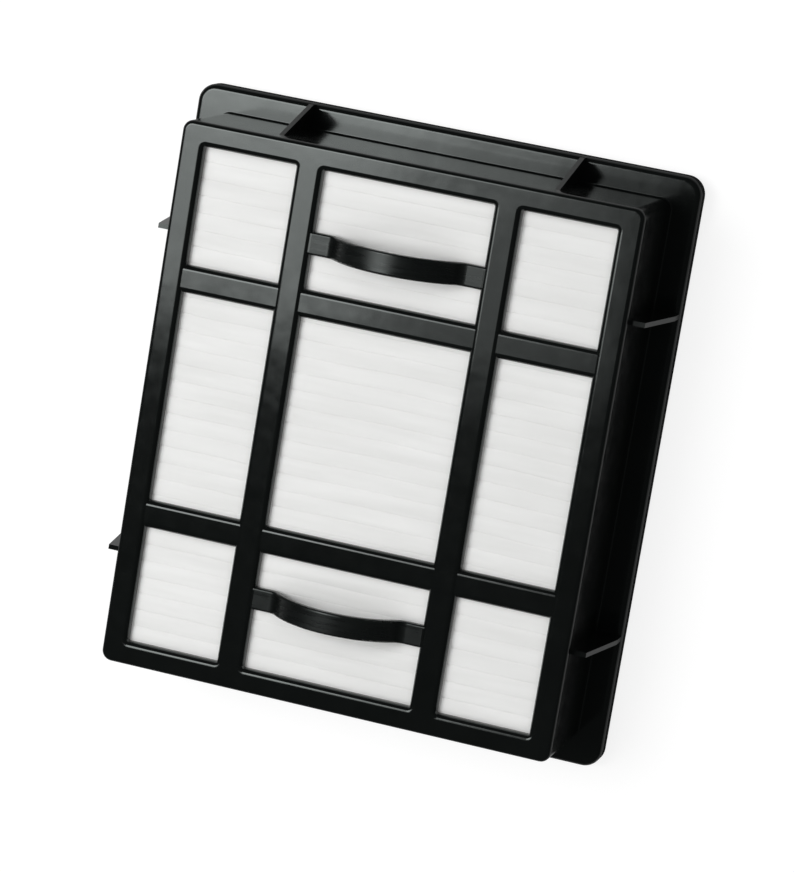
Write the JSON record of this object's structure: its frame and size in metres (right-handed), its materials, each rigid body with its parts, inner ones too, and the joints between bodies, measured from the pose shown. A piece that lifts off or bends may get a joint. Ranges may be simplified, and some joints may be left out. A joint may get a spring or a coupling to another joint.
{
  "type": "vacuum cleaner exhaust filter cassette",
  "caption": "Black moulded filter cassette with a windowed grille, bowed strap grips, a ribbed flange, a white pleated media pack and a soft seal behind the flange.",
  "frame": {"origin": "middle of the cassette's outline, on the plane that the seal lies on", "axes": "+Z out of the grille, +Y along the long way of the flange, +X along its short way"},
  "size_m": [0.1148, 0.1318, 0.0388],
  "materials": {
    "moulded_black": "satin moulded, softly glossy edges",
    "filter_media": "matt non-woven sheet",
    "potting": "cured poured sealant",
    "seal_foam": "matt soft seal"
  },
  "bodies": {
    "root": {"frame": "moulded_black", "pleat_pack": "filter_media", "sealant": "potting", "gasket": "seal_foam"}
  },
  "joints": []
}
